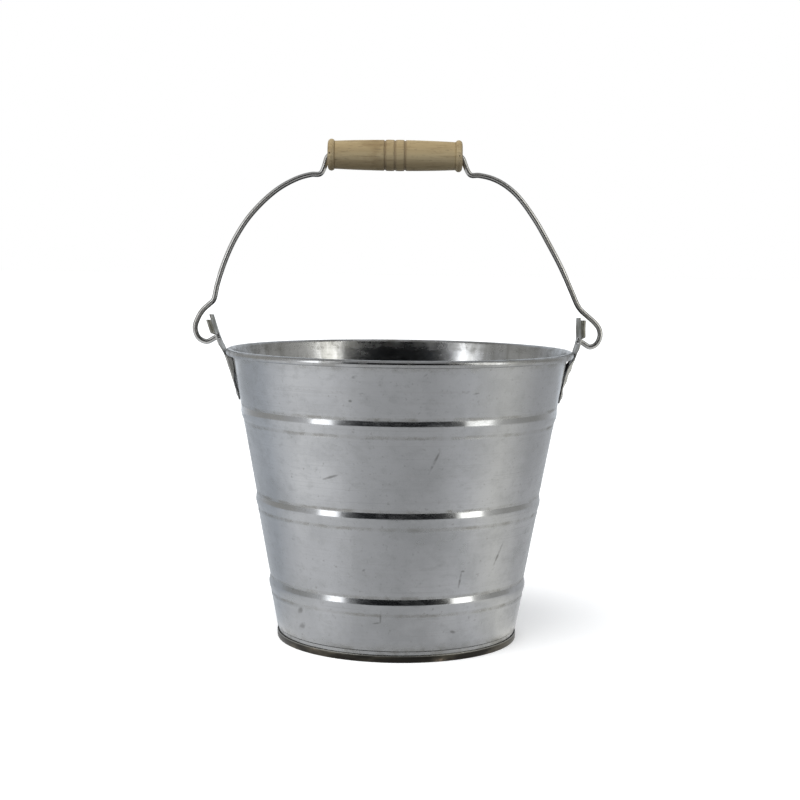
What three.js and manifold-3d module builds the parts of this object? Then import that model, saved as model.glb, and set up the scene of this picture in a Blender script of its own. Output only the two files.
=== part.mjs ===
// A small galvanised florist bucket: a tapered sheet-steel body with a wired rim, three swaged beads,
// a paned-down bottom, two riveted bail ears, and a cranked wire bail with a turned wooden grip.
// Millimetres, +Z up. The origin is the centre of the foot, the ears lie along X, the seam faces +Y.

import * as THREE from 'three';
import { mergeVertices } from 'three/addons/utils/BufferGeometryUtils.js';
import Module from 'manifold-3d';

const wasm = await Module();
wasm.setup();

// ---------------------------------------------------------------- driving sizes

const height = 175.4;                 // foot to the top of the rim roll
const rimRadius = 105;                // outside of the rim roll
const taper = 0.183;                  // growth of the radius for each millimetre of height
const sheet = 0.6;                    // thickness of the body and bottom sheet
const touch = 0.3;                    // gap kept between pieces that touch

const rollRadius = 2.1;               // outside of the roll round the rim wire
const rollEnd = THREE.MathUtils.degToRad(-125);   // where the rolled edge stops
const rollSteps = 12;

// Swaged beads, from the top: height of the crest, how far the bead stands out of the cone above it, and how
// far the wall below it stays out. The middle one is a little below the middle of the other two.
const topBeadDrop = 37.1;             // below the top of the rim
const bottomBeadHeight = 34.7;
const middleBeadDrop = 1;
const topBeadZ = height - topBeadDrop;
const beads = [
  { z: topBeadZ, rise: 0.75, step: 0.05 },
  { z: (topBeadZ + bottomBeadHeight) / 2 - middleBeadDrop, rise: 1.2, step: 0.85 },
  { z: bottomBeadHeight, rise: 1.45, step: 1.1 },
];
const beadCrease = 3.2;               // above the crest, where the bead springs from the wall
const beadShoulder = 0.8;             // share of the rise that is reached at the crest
const beadBelly = -2;                 // below the crest, where the bead is fullest
const beadFoot = -6.4;                // and where it has come back to the wall

const neckTop = 7.2;                  // where the wall turns in to the upright foot neck
const neckHeight = 1.0;
const neckStep = 0.9;
const skirtHeight = 4.2;              // lip of the bottom's upturned edge
const floorHeight = 4.6;              // top of the recessed bottom

const seamWidth = 5.5;                // lock seam up the back of the wall
const seamProud = 0.6;
const seamBury = 0.3;
const seamDrop = 8.4;                 // below the top of the rim, where the seam ends

const earSheet = 0.8;
// Heights on the ear, as drops below the top of the rim and rises above it.
const earFootDrop = 31.4;             // the ear lies on the wall from here ...
const earBendDrop = 22.4;             // ... to here, then stands off to pass outside the rim
const rivetDrop = 26.4;
const leafDrop = 5.8;                 // top of the side flanges, under the rim roll
const shoulderDrop = 3;
const hemFootRise = 8.6;              // the upper tab's rolled edges run from here ...
const hemEndRise = 18.8;              // ... to here
const pivotRise = 6.6;                // the axis that the bail swings on
const earRise = 20.2;
const earTaper = 3;                   // height over which the foot rounds off
const leafHalf = 8.5;                 // half widths of the ear
const tipHalf = 5.5;
const neckHalf = 6.6;
const tabHalf = 7.4;
const flangeGap = 0.5;
const hemRadius = 1.25;
// Each ear is bent by hand, so the two lean out by different angles between rim and eye, and above the eye.
const ears = [
  { side: 1, name: 'right', neckLean: 17.5, tabLean: 1.5 },
  { side: -1, name: 'left', neckLean: 27, tabLean: 25 },
];

const rivetRadius = 1.5;
const rivetHead = 3;
const rivetDome = 1.0;
const domeOutline = [[1, 0], [0.92, 0.4], [0.6, 0.85], [0, 1]];   // shares of the head's radius and height
const rivetTail = 2.4;
const rivetTailHeight = 0.8;
const tailEdge = 0.85;                // the tail's end is this share of its radius
const rivetSpread = 4.4;              // distance of each rivet from the ear's centre line

const wireRadius = 1.6;
const eyeClearance = 1.9;             // round the wire, in the ear's hole
const bailReach = 4.6;                // the grip swings down this far outside the rim

const gripLength = 80.6;
const gripOffset = -4.3;              // the grip sits a little to the left
const gripEndRadius = 9.5;
const gripNeckRadius = 8.4;           // beside each end bead
const gripBellyRadius = 9.2;          // middle of the barrel
const gripBeadLength = 3.8;
const boreClearance = 1;              // round the wire, in the grip's bore
const mouthClearance = 5.4;           // and in its coned mouths, where the wire bends
const gripMouthDepth = 3.8;
const gripGrooves = [-6, 0, 6];       // V grooves round the middle, from the grip's centre
const gripGrooveHalf = 0.8;
const gripGrooveDepth = 0.7;

const crankRadius = 3.4;              // the wire turns down at each end of the grip
const crankAngle = THREE.MathUtils.degToRad(64);
const crankInside = 2.6;
const crankSteps = 4;

// Each arm of the hand-bent bail as [share of the way from grip end to eye, share of the bail's height].
const bailArms = {
  right: [[0.068, 0.9], [0.14, 0.897], [0.245, 0.882], [0.347, 0.85], [0.463, 0.788], [0.612, 0.659],
    [0.73, 0.528], [0.838, 0.398], [0.93, 0.266]],
  left: [[0.064, 0.897], [0.15, 0.891], [0.28, 0.868], [0.475, 0.801], [0.7, 0.67], [0.846, 0.537],
    [0.944, 0.405], [1.008, 0.285]],
};
// The hook at each foot of the bail, from the kink round to the tip inside the ear: [outward, up] of the eye.
const bailHooks = {
  right: [[-1.3, 21], [0.9, 18.1], [5, 14.5], [9.2, 10.8], [12, 7], [12.6, 2.6], [10.6, -2], [6.8, -3.9],
    [2.6, -1.7], [0, 0], [-1.8, 0.8]],
  left: [[2.9, 21.6], [5.5, 19.1], [9, 15.8], [12, 11.2], [13.9, 4.8], [11.8, -1.2], [7, -3.5],
    [2.6, -1.5], [0, 0], [-1.8, 0.8]],
};
const wireSteps = 110;
const wireSides = 8;

const roundSteps = 48;                // facets round the bucket
const gripSteps = 24;                 // facets round the grip
const barrelSteps = 4;                // facets along each half of its barrel
const gripBeadSteps = 4;              // and round each end bead
const smallSteps = 12;                // facets round the rivets and holes

// ---------------------------------------------------------------- finishes

function finish(color, roughness, metalness) {
  return new THREE.MeshStandardMaterial({ color, roughness, metalness });
}

const zincSheet = finish(0xa3a7a8, 0.34, 1);
const zincEar = finish(0x9a9b96, 0.42, 1);
const tarnishedZinc = finish(0x4a463f, 0.6, 0.8);
const zincWire = finish(0xa9a9a4, 0.3, 1);
const rawWood = finish(0xb09974, 0.7, 0);

// ---------------------------------------------------------------- solids

// Leaves only the positions and merges the corners that coincide, so that the surface is closed.
function closed(geometry) {
  geometry.deleteAttribute('normal');
  geometry.deleteAttribute('uv');
  return mergeVertices(geometry, 1e-4);
}

function solid(geometry) {
  const surface = closed(geometry);
  return new wasm.Manifold(new wasm.Mesh({
    numProp: 3,
    vertProperties: surface.attributes.position.array,
    triVerts: Uint32Array.from(surface.index.array),
  }));
}

function geometryOf(body) {
  const mesh = body.getMesh();
  const geometry = new THREE.BufferGeometry();
  geometry.setAttribute('position', new THREE.BufferAttribute(mesh.vertProperties, 3));
  geometry.setIndex(new THREE.BufferAttribute(mesh.triVerts, 1));
  return geometry;
}

function piece(name, geometry, material) {
  const mesh = new THREE.Mesh(geometry, material);
  mesh.name = name;
  return mesh;
}

// Turns a closed [radius, height] outline round Z.
function turned(outline, steps) {
  const points = outline.map(([radius, z]) => new THREE.Vector2(radius, z));
  const isRing = outline.every(([radius]) => radius > 0);
  if (isRing) points.push(points[0].clone());
  return new THREE.LatheGeometry(points, steps).rotateX(Math.PI / 2);
}

// Extrudes an [x, z] outline evenly to both sides of the XZ plane.
function acrossY(outline, width, y = 0) {
  const shape = new THREE.Shape(outline.map(([x, z]) => new THREE.Vector2(x, z)));
  const geometry = new THREE.ExtrudeGeometry(shape, { depth: width, bevelEnabled: false });
  return geometry.rotateX(Math.PI / 2).translate(0, y + width / 2, 0);
}

// Extrudes a [y, z] outline along +X from x0.
function alongX(outline, x0, depth) {
  const shape = new THREE.Shape(outline.map(([y, z]) => new THREE.Vector2(y, z)));
  const geometry = new THREE.ExtrudeGeometry(shape, { depth, bevelEnabled: false });
  const axes = [new THREE.Vector3(0, 1, 0), new THREE.Vector3(0, 0, 1), new THREE.Vector3(1, 0, 0)];
  return geometry.applyMatrix4(new THREE.Matrix4().makeBasis(...axes)).translate(x0, 0, 0);
}

// A round bar between two points.
function bar(from, to, radius) {
  const run = new THREE.Vector3().subVectors(to, from);
  const turn = new THREE.Quaternion().setFromUnitVectors(new THREE.Vector3(0, 1, 0), run.clone().normalize());
  const middle = new THREE.Vector3().addVectors(from, to).multiplyScalar(0.5);
  return new THREE.CylinderGeometry(radius, radius, run.length(), smallSteps)
    .applyQuaternion(turn).translate(middle.x, middle.y, middle.z);
}

// ---------------------------------------------------------------- body of the bucket

const slant = Math.atan(taper);
const sheetAcross = sheet / Math.cos(slant);      // the sheet's thickness measured level
const rollCentre = { r: rimRadius - rollRadius, z: height - rollRadius };
const rollInner = rollRadius - sheet;
const wallAtRoll = rollCentre.r - rollRadius / Math.cos(slant) + sheetAcross;

// A bead's outline as [height from its crest, distance outside the cone above it], from the foot up.
const beadOutline = ({ rise, step }) => [
  [beadFoot, step],
  [(beadFoot + beadBelly) / 2, (rise + step) / 2],
  [beadBelly, rise],
  [0, rise * beadShoulder],
  [beadCrease, 0],
];

// Radius of the wall's outer face: a cone, with each bead on it and stepped out below each bead.
function wallRadius(z) {
  let radius = wallAtRoll - taper * (rollCentre.z - z);
  for (const bead of beads) {
    const outline = beadOutline(bead);
    const above = outline.findIndex(([up]) => bead.z + up >= z);
    if (above === 0) radius += bead.step;
    if (above <= 0) continue;
    const [up0, out0] = outline[above - 1];
    const [up1, out1] = outline[above];
    radius += out0 + (out1 - out0) * (z - bead.z - up0) / (up1 - up0);
  }
  return radius;
}

const neckRadius = wallRadius(neckTop) - neckStep;
const neckInner = neckRadius - sheet;
const skirtRadius = neckRadius + touch + sheet;
const neckBottom = sheet + touch;
// How far the faceted wall falls back from X at the outer edge of a rivet's tail.
const tailSag = (rivetSpread + rivetTail) * Math.tan(Math.PI / roundSteps);

function arc(radius, from, to) {
  return Array.from({ length: rollSteps + 1 }, (_, i) => {
    const angle = from + (to - from) * i / rollSteps;
    return [rollCentre.r + radius * Math.cos(angle), rollCentre.z + radius * Math.sin(angle)];
  });
}

const wallHeights = () => [
  neckTop,
  ...[...beads].reverse().flatMap(bead => beadOutline(bead).map(([up]) => bead.z + up)),
];

function makeWall() {
  const rollStart = Math.PI - slant;
  const inner = wallHeights().map(z => [wallRadius(z) - sheetAcross, z]);
  const outer = wallHeights().map(z => [wallRadius(z), z]).reverse();
  const sheetOutline = [
    [neckInner, neckBottom],
    [neckInner, neckTop - neckHeight],
    ...inner,
    ...arc(rollRadius, rollStart, rollEnd),
    ...arc(rollInner, rollEnd, rollStart),
    ...outer,
    [neckRadius, neckTop - neckHeight],
    [neckRadius, neckBottom],
  ].reverse();
  let wall = solid(turned(sheetOutline, roundSteps));

  const seamHeights = [neckTop + neckHeight, ...wallHeights().slice(1), height - seamDrop];
  const seamOutline = [
    ...seamHeights.map(z => [wallRadius(z) - seamBury, z]),
    ...seamHeights.map(z => [wallRadius(z) + seamProud, z]).reverse(),
  ];
  wall = wall.add(solid(acrossY(seamOutline, seamWidth).rotateZ(Math.PI / 2)));

  for (const { from, to } of rivetLines()) {
    wall = wall.subtract(solid(bar(from, to, rivetRadius + touch)));
  }
  return geometryOf(wall);
}

function makeRimWire() {
  return closed(new THREE.TorusGeometry(rollCentre.r, rollInner - touch, wireSides, roundSteps)
    .translate(0, 0, rollCentre.z));
}

// The bottom is a dished disc whose edge is turned up round the foot of the wall.
function makeBottom() {
  const channelInner = neckInner - touch;
  return closed(turned([
    [0, floorHeight],
    [channelInner, floorHeight],
    [channelInner, sheet],
    [neckRadius + touch, sheet],
    [neckRadius + touch, skirtHeight],
    [skirtRadius, skirtHeight],
    [skirtRadius, 0],
    [channelInner - sheet, 0],
    [channelInner - sheet, floorHeight - sheet],
    [0, floorHeight - sheet],
  ].reverse(), roundSteps));
}

// ---------------------------------------------------------------- ears and rivets

const earFootBottom = height - earFootDrop;
const earFootTop = height - earBendDrop;
const rivetZ = height - rivetDrop;
const leafTop = height - leafDrop;
const shoulderTop = height - shoulderDrop;
const hemBottom = height + hemFootRise;
const hemTop = height + hemEndRise;
const pivotZ = height + pivotRise;
const earTop = height + earRise;

// Middle of the ear's sheet in side view, for the ear on +X.
function earLine({ neckLean, tabLean }) {
  const lean = degrees => Math.tan(THREE.MathUtils.degToRad(degrees));
  const onWall = z => wallRadius(z) + touch + earSheet / 2;
  const atRim = rimRadius + touch + earSheet / 2;
  const atEye = atRim + (pivotZ - rollCentre.z) * lean(neckLean);
  return [
    [onWall(earFootBottom), earFootBottom],
    [onWall(earFootTop), earFootTop],
    [atRim, rollCentre.z - rollRadius / 2],
    [atRim, rollCentre.z],
    [atEye, pivotZ],
    [atEye + (earTop - pivotZ) * lean(tabLean), earTop],
  ];
}

function xOnLine(line, z) {
  const i = Math.max(1, line.findIndex(point => point[1] >= z));
  const [x0, z0] = line[i - 1];
  const [x1, z1] = line[i];
  return x0 + (x1 - x0) * (z - z0) / (z1 - z0);
}

function makeEar(ear) {
  const line = earLine(ear);
  const half = earSheet / 2;
  const strap = [
    ...line.map(([x, z]) => [x - half, z]),
    ...line.map(([x, z]) => [x + half, z]).reverse(),
  ];
  const halfOutline = [
    [tipHalf, earFootBottom],
    [leafHalf, earFootBottom + earTaper],
    [leafHalf, leafTop],
    [neckHalf, shoulderTop],
    [neckHalf, hemBottom],
    [tabHalf, earTop],
  ];
  const outline = [...halfOutline, ...halfOutline.map(([y, z]) => [-y, z]).reverse()];
  const reach = rimRadius * 2;
  let body = solid(acrossY(strap, leafHalf * 4)).intersect(solid(alongX(outline, 0, reach)));

  const flange = [
    [xOnLine(line, leafTop), leafTop],
    [wallRadius(leafTop) + flangeGap, leafTop],
    [wallRadius(earFootTop) + flangeGap, earFootTop],
    [xOnLine(line, earFootTop), earFootTop],
  ];
  for (const side of [-1, 1]) {
    body = body.add(solid(acrossY(flange, earSheet, side * (leafHalf - half))));
    const hemFoot = new THREE.Vector3(xOnLine(line, hemBottom), side * neckHalf, hemBottom);
    const hemHead = new THREE.Vector3(xOnLine(line, hemTop), side * tabHalf, hemTop);
    body = body.add(solid(bar(hemFoot, hemHead, hemRadius)));
  }

  const eye = bar(new THREE.Vector3(0, 0, pivotZ), new THREE.Vector3(reach, 0, pivotZ),
    wireRadius + eyeClearance);
  body = body.subtract(solid(eye));
  for (const { from, to } of rivetLines().filter(rivet => rivet.ear.side === 1)) {
    body = body.subtract(solid(bar(from, to, rivetRadius + touch)));
  }
  return geometryOf(body).rotateZ(ear.side > 0 ? 0 : Math.PI);
}

// Two rivets fix each ear's foot; each runs square to the wall, from inside to outside.
function rivetLines() {
  const reach = rimRadius - wallRadius(rivetZ);
  const normal = new THREE.Vector3(Math.cos(slant), 0, -Math.sin(slant));
  const up = new THREE.Vector3(0, 0, 1);
  return ears.flatMap(ear => [-1, 1].map(row => {
    const seat = new THREE.Vector3(wallRadius(rivetZ) - sheetAcross - tailSag, row * rivetSpread, rivetZ);
    const from = seat.clone().addScaledVector(normal, -reach);
    const to = seat.clone().addScaledVector(normal, reach);
    const turn = vector => vector.clone().applyAxisAngle(up, ear.side > 0 ? 0 : Math.PI);
    return {
      ear,
      name: `rivet_${ear.name}_${row * ear.side < 0 ? 'front' : 'rear'}`,
      seat: turn(seat),
      axis: turn(normal),
      from: turn(from),
      to: turn(to),
    };
  }));
}

// A dome-headed rivet along +Y, its flattened tail below zero and its head past the grip of both sheets.
function makeRivet() {
  const grip = tailSag + sheet + touch + earSheet + touch;
  const shape = [
    [0, -touch - rivetTailHeight],
    [rivetTail * tailEdge, -touch - rivetTailHeight],
    [rivetTail, -touch - rivetTailHeight / 2],
    [rivetTail, -touch],
    [rivetRadius, -touch],
    [rivetRadius, grip],
    ...domeOutline.map(([across, up]) => [rivetHead * across, grip + rivetDome * up]),
  ].map(([radius, y]) => new THREE.Vector2(radius, y));
  return new THREE.LatheGeometry(shape, smallSteps);
}

// ---------------------------------------------------------------- bail and grip

const bailHeight = rimRadius + bailReach;         // pivot axis to grip axis
const gripZ = pivotZ + bailHeight;

// Centre line of the bail on one side, from the middle of the grip to the tip of the hook.
function bailSide({ side, name, neckLean }) {
  const gripEnd = gripLength / 2 + side * gripOffset;
  const bendStart = gripEnd - crankInside;
  const line = earLine({ neckLean, tabLean: 0 });
  const eye = xOnLine(line, pivotZ);
  const points = [];
  for (let i = 0; i <= crankSteps; i++) {
    const angle = crankAngle * i / crankSteps;
    points.push([
      bendStart + crankRadius * Math.sin(angle),
      gripZ - crankRadius * (1 - Math.cos(angle)),
    ]);
  }
  for (const [across, up] of bailArms[name]) {
    points.push([gripEnd + across * (eye - gripEnd), pivotZ + up * bailHeight]);
  }
  for (const [outward, up] of bailHooks[name]) points.push([eye + outward, pivotZ + up]);
  return points.map(([x, z]) => new THREE.Vector3(side * x, 0, z));
}

function makeBail() {
  const [right, left] = ears.map(bailSide);
  const route = new THREE.CatmullRomCurve3([...left.reverse(), ...right], false, 'centripetal');
  const section = new THREE.Shape(Array.from({ length: wireSides }, (_, i) => {
    const angle = 2 * Math.PI * i / wireSides;
    return new THREE.Vector2(wireRadius * Math.cos(angle), wireRadius * Math.sin(angle));
  }));
  return closed(new THREE.ExtrudeGeometry(section, {
    steps: wireSteps,
    extrudePath: route,
    bevelEnabled: false,
  }));
}

// A barrel with grooves round its middle and a bead at each end, on a bore with coned mouths.
function makeGrip() {
  const end = gripLength / 2;
  const barrelEnd = end - gripBeadLength;
  const barrel = x => gripBellyRadius - (gripBellyRadius - gripNeckRadius) * (x / barrelEnd) ** 2;
  const outline = [];
  for (const groove of gripGrooves) {
    outline.push([barrel(groove - gripGrooveHalf), groove - gripGrooveHalf]);
    outline.push([barrel(groove) - gripGrooveDepth, groove]);
    outline.push([barrel(groove + gripGrooveHalf), groove + gripGrooveHalf]);
  }
  const firstGroove = gripGrooves.at(-1) + gripGrooveHalf;
  const half = [];
  for (let i = 1; i <= barrelSteps; i++) {
    const x = firstGroove + (barrelEnd - firstGroove) * i / barrelSteps;
    half.push([barrel(x), x]);
  }
  const bead = gripBeadLength / 2;
  for (let i = 1; i <= gripBeadSteps; i++) {
    const angle = Math.PI * (i / gripBeadSteps - 0.5);
    half.push([gripEndRadius - bead + bead * Math.cos(angle), barrelEnd + bead + bead * Math.sin(angle)]);
  }
  half.push([wireRadius + mouthClearance, end]);
  half.push([wireRadius + boreClearance, end - gripMouthDepth]);
  const mirrored = half.map(([radius, x]) => [radius, -x]).reverse();
  return closed(turned([...mirrored, ...outline, ...half], gripSteps)
    .rotateY(Math.PI / 2).translate(gripOffset, 0, gripZ));
}

// ---------------------------------------------------------------- assembly

const bucket = new THREE.Group();
bucket.add(piece('bucket_wall', makeWall(), zincSheet));
bucket.add(piece('rim_wire', makeRimWire(), zincWire));
bucket.add(piece('bottom_plate', makeBottom(), tarnishedZinc));
for (const ear of ears) bucket.add(piece(`ear_${ear.name}`, makeEar(ear), zincEar));
for (const rivet of rivetLines()) {
  const mesh = piece(rivet.name, makeRivet(), zincWire);
  mesh.quaternion.setFromUnitVectors(new THREE.Vector3(0, 1, 0), rivet.axis);
  mesh.position.copy(rivet.seat);
  bucket.add(mesh);
}

const bail = new THREE.Group();
bail.add(piece('bail_wire', makeBail(), zincWire));
bail.add(piece('wooden_grip', makeGrip(), rawWood));
bucket.add(bail);

export default bucket;
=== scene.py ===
import math

import bmesh
import bpy
from mathutils import Matrix, Vector


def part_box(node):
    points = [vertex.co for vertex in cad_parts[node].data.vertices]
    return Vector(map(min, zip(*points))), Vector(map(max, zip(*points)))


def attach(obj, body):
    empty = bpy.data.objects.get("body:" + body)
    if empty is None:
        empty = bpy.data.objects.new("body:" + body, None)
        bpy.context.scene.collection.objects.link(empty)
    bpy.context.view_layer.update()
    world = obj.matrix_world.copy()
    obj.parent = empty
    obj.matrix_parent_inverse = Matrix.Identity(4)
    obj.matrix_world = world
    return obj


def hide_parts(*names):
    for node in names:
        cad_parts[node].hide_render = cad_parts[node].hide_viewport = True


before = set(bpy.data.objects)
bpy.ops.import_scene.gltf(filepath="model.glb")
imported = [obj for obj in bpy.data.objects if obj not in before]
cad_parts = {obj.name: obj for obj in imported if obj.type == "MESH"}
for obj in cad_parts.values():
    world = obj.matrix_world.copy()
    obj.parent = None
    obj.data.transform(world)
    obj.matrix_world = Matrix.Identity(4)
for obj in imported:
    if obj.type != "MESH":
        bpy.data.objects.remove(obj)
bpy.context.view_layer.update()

# ---------------------------------------------------------------- studio
# The bucket stands on a pale floor before a pale background. Bright zinc shows only what it mirrors, so a
# tent of soft cards that only reflections see stands round it: dark in front, a lit panel to each side of
# that, then grey.


class Socket:
    """A socket in a node tree. Arithmetic on it adds Math nodes, and node() adds any other node."""

    def __init__(self, tree, socket=None):
        self.tree = tree
        self.socket = socket

    def node(self, kind, settings=None, sockets=None, out=0):
        """Adds a node: its settings first, then the values or links of its sockets. Gives one output."""
        made = self.tree.nodes.new(kind)
        for name, value in (settings or {}).items():
            if name == "stops":
                ramp = made.color_ramp.elements
                for place, _ in value[len(ramp):]:
                    ramp.new(place)
                for element, (place, color) in zip(ramp, value):
                    element.position = place
                    element.color = (*color, 1)
            else:
                setattr(made, name, value)
        for name, value in (sockets or {}).items():
            if isinstance(value, Socket):
                self.tree.links.new(value.socket, made.inputs[name])
            else:
                made.inputs[name].default_value = value
        return Socket(self.tree, made.outputs[out] if len(made.outputs) else None)

    def maths(self, operation, first, second=0.0):
        return self.node("ShaderNodeMath", {"operation": operation}, {0: first, 1: second})

    def split(self):
        """The x, y and z of a vector."""
        return [self.node("ShaderNodeSeparateXYZ", sockets={0: self}, out=i) for i in range(3)]

    def __add__(self, other):
        return self.maths("ADD", self, other)

    __radd__ = __add__

    def __sub__(self, other):
        return self.maths("SUBTRACT", self, other)

    def __rsub__(self, other):
        return self.maths("SUBTRACT", other, self)

    def __mul__(self, other):
        return self.maths("MULTIPLY", self, other)

    __rmul__ = __mul__

    def __truediv__(self, other):
        return self.maths("DIVIDE", self, other)

    def __abs__(self):
        return self.maths("ABSOLUTE", self)

    def ramp(self, low, high):
        """Rises smoothly from 0 at low to 1 at high, or falls if high is less than low."""
        settings = {"interpolation_type": "SMOOTHSTEP"}
        names = ("Value", "From Min", "From Max")
        if low < high:
            return self.node("ShaderNodeMapRange", settings, dict(zip(names, (self, low, high))))
        return 1 - self.node("ShaderNodeMapRange", settings, dict(zip(names, (self, high, low))))


def new_finish(name):
    """A new material, and the start of its node tree."""
    material = bpy.data.materials.new(name)
    material.use_nodes = True
    material.node_tree.nodes.clear()
    return material, Socket(material.node_tree)


def places(shade):
    """The Object coordinates, whole and as x, y and z."""
    whole = shade.node("ShaderNodeTexCoord", out="Object")
    return whole, *whole.split()


def added(name, data):
    """A new object in the scene."""
    item = bpy.data.objects.new(name, data)
    bpy.context.scene.collection.objects.link(item)
    return item


def mesh_of(name, corners, edges=(), faces=()):
    mesh = bpy.data.meshes.new(name)
    mesh.from_pydata(corners, edges, faces)
    return mesh


def grid_faces(rows, columns, closed):
    """Faces over rows of corners: a sheet or, where the last column joins the first, a tube."""
    faces = []
    for i in range(rows - 1):
        for j in range(columns if closed else columns - 1):
            k = (j + 1) % columns
            faces.append((i * columns + j, i * columns + k, (i + 1) * columns + k, (i + 1) * columns + j))
    return faces


mm = 0.001
camera_place = (0.0005, -0.9912, 0.2373)
camera_down = 5.356
camera_roll = 0.727
camera_data = bpy.data.cameras.new("camera")
camera_data.lens = 73.7
camera_data.sensor_width = 36
camera_data.clip_end = 100
camera = added("camera", camera_data)
camera.location = camera_place
looking_down = Matrix.Rotation(math.radians(90 - camera_down), 3, "X")
camera.rotation_euler = (looking_down @ Matrix.Rotation(math.radians(camera_roll), 3, "Z")).to_euler()
bpy.context.scene.camera = camera
bpy.context.scene.view_settings.view_transform = "Standard"

world = bpy.data.worlds.new("room")
world.use_nodes = True
world.node_tree.nodes["Background"].inputs["Color"].default_value = (0.93, 0.96, 1, 1)
world.node_tree.nodes["Background"].inputs["Strength"].default_value = 0.38
bpy.context.scene.world = world

lamp = bpy.data.lights.new("overhead_softbox", "SUN")
lamp.energy = 2.3
lamp.angle = math.radians(50)
overhead = added("overhead_softbox", lamp)
overhead.rotation_euler = (math.radians(22), math.radians(-14), 0)
overhead.visible_glossy = False

all_rays = ("camera", "diffuse", "glossy", "transmission", "volume_scatter", "shadow")


def stage_mesh(name, corners, faces, material, seen_by):
    """A studio surface that only these kinds of ray can see."""
    item = added(name, mesh_of(name, corners, faces=faces))
    item.data.materials.append(material)
    for ray in all_rays:
        setattr(item, "visible_" + ray, ray in seen_by)


def glowing(name, strength, stops=None):
    """A card's glow: the same all over, or by azimuth in degrees from the front, positive to the right."""
    material, shade = new_finish(name)
    glow = {"Strength": strength}
    if stops:
        _, x, y, _ = places(shade)
        azimuth = shade.maths("ARCTAN2", x, 0 - y) / (2 * math.pi) + 0.5
        ramp_stops = [(degrees / 360 + 0.5, [c * share for c in color]) for degrees, share, color in stops]
        glow["Color"] = shade.node("ShaderNodeValToRGB", {"stops": ramp_stops}, {0: azimuth})
    card = shade.node("ShaderNodeEmission", sockets=glow)
    shade.node("ShaderNodeOutputMaterial", sockets={"Surface": card})
    return material


def square(reach, z):
    """The corners of a level square round the axis."""
    return [(x * reach, y * reach, z) for x, y in ((-1, -1), (1, -1), (1, 1), (-1, 1))]


neutral = (1, 1, 1)
cool = (0.95, 1, 1.06)
warm = (1, 0.985, 0.93)
room_reach = 12.0
room_low = -1.0
tent_radius = 1.0
tent_height = 1.1
tent_sides = 96

paper, shade = new_finish("floor_paper")
diffuse = shade.node("ShaderNodeBsdfDiffuse", sockets={"Color": (0.9, 0.9, 0.9, 1)})
underlit = shade.node("ShaderNodeEmission", sockets={"Strength": 0.38})
diffuse = shade.node("ShaderNodeAddShader", sockets={0: diffuse, 1: underlit})
shade.node("ShaderNodeOutputMaterial", sockets={"Surface": diffuse})
stage_mesh("floor", square(room_reach, 0), [(0, 1, 2, 3)], paper, ("camera",))

room_corners = square(room_reach, room_low) + square(room_reach, room_reach)
room_faces = [(4, 5, 6, 7)] + grid_faces(2, 4, closed=True)
stage_mesh("background", room_corners, room_faces, glowing("background_glow", 1.0), ("camera",))

tent_glow = glowing("tent_glow", 3.4, [
    (-180, 0.25, cool), (-150, 0.24, cool), (-130, 0.18, neutral), (-110, 0.15, warm), (-90, 0.16, warm),
    (-72, 0.21, neutral), (-63, 0.26, neutral), (-60, 0.95, neutral), (-48, 0.95, neutral),
    (-43, 0.1, neutral), (-28, 0.01, cool), (0, 0.002, cool), (28, 0.006, cool), (45, 0.05, warm),
    (50, 0.95, warm), (65, 0.95, warm), (69, 0.27, warm), (76, 0.22, warm), (90, 0.16, warm),
    (110, 0.14, warm), (130, 0.18, neutral), (150, 0.24, cool), (180, 0.25, cool),
])
ring = [2 * math.pi * i / tent_sides for i in range(tent_sides)]
tent_corners = [
    (tent_radius * math.cos(a), tent_radius * math.sin(a), z) for z in (0, tent_height) for a in ring
]
stage_mesh("tent", tent_corners, grid_faces(2, tent_sides, closed=True), tent_glow, ("glossy",))
stage_mesh("tent_roof", square(tent_radius, tent_height), [(0, 1, 2, 3)], glowing("roof_glow", 0.5),
           ("glossy",))
floor_glow = glowing("mirrored_floor_glow", 1.0, [
    (-180, 0.54, cool), (-106, 0.68, cool), (-74, 1.06, neutral), (-47, 1.06, neutral),
    (-23, 0.79, neutral), (0, 0.69, neutral), (22, 0.65, neutral), (47, 0.87, neutral), (74, 1.06, warm),
    (106, 0.67, neutral), (180, 0.54, cool),
])
stage_mesh("mirrored_floor", square(tent_radius, -1 * mm), [(0, 1, 2, 3)], floor_glow, ("glossy",))

# ---------------------------------------------------------------- body
# One tapered sheet of bright galvanised steel, 0.6 mm thick. It is rolled into a cone, locked along a seam
# at the back, swaged with three stiffening beads, curled over a wire at the rim and turned in to an upright
# neck at the foot.


def noise(shade, place, scale, detail=2.0, stretch=(1, 1, 1), offset=0.0, roughness=0.5):
    """Noise round 0.5; scale counts its blotches per metre, and stretch packs them closer along an axis."""
    moved = shade.node(
        "ShaderNodeMapping",
        sockets={"Vector": place, "Scale": stretch, "Location": (offset, offset, offset)},
    )
    sockets = {"Vector": moved, "Scale": scale, "Detail": detail, "Roughness": roughness}
    return shade.node("ShaderNodeTexNoise", sockets=sockets)


def blend(shade, factor, first, second):
    """Mixes two colours, each a link or three numbers."""
    pair = [color if isinstance(color, Socket) else (*color, 1) for color in (first, second)]
    return shade.node("ShaderNodeMix", {"data_type": "RGBA"}, {0: factor, 6: pair[0], 7: pair[1]}, out=2)


def bump(shade, height, distance, normal=None):
    """A normal with relief: distance is its full depth, and normal the relief that it is added to."""
    sockets = {"Height": height, "Distance": distance}
    if normal:
        sockets["Normal"] = normal
    return shade.node("ShaderNodeBump", sockets=sockets)


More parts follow.
